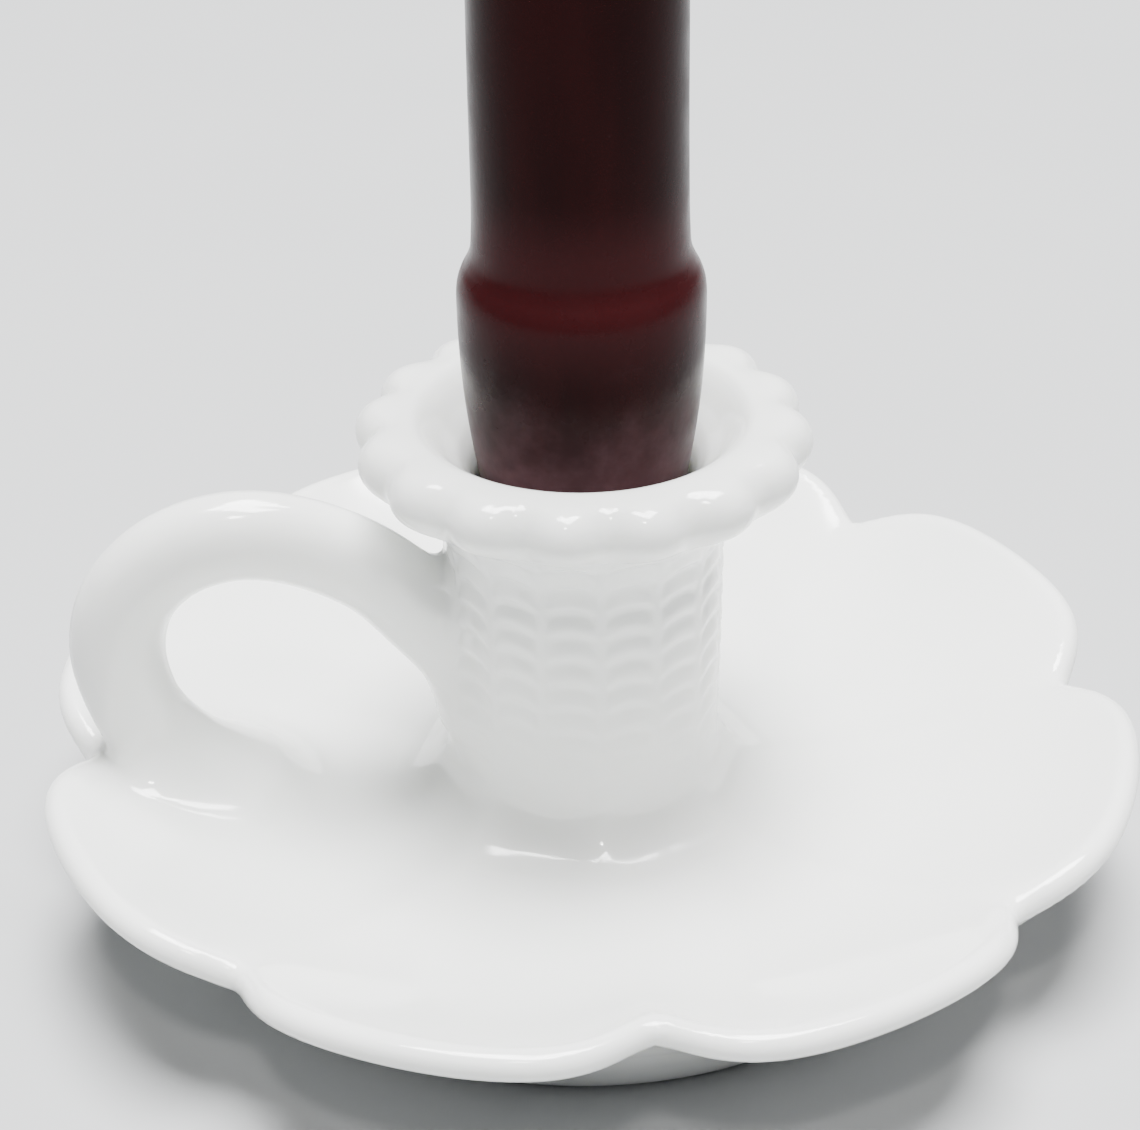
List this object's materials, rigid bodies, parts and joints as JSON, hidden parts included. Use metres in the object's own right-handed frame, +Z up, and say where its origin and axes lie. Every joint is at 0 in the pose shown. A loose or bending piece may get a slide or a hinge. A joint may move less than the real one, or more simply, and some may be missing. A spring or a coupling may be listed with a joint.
{
  "type": "glass chamberstick with candle",
  "caption": "White milk-glass chamberstick: scalloped saucer on a foot ring, scale-patterned socket with a lobed rim, finger loop, and a dark red taper candle.",
  "frame": {"origin": "centre of the foot ring's underside, on the surface that the chamberstick stands on", "axes": "+Z up along the candle's axis; the finger loop stands out towards -X, over a notch of the saucer"},
  "size_m": [0.1194, 0.1194, 0.304],
  "materials": {
    "milk_glass": "gloss",
    "candle_wax": "satin",
    "wick_cotton": "matte"
  },
  "bodies": {
    "chamberstick": {"foot_ring": "milk_glass", "saucer": "milk_glass", "candle_socket": "milk_glass", "rim_collar": "milk_glass", "finger_loop": "milk_glass"},
    "candle": {"candle": "candle_wax", "wick": "wick_cotton"}
  },
  "joints": [
    {"name": "candle_lift", "type": "slide", "parent": "chamberstick", "child": "candle", "axis": [0, 0, 1], "range_m": [0, 0.04]}
  ]
}
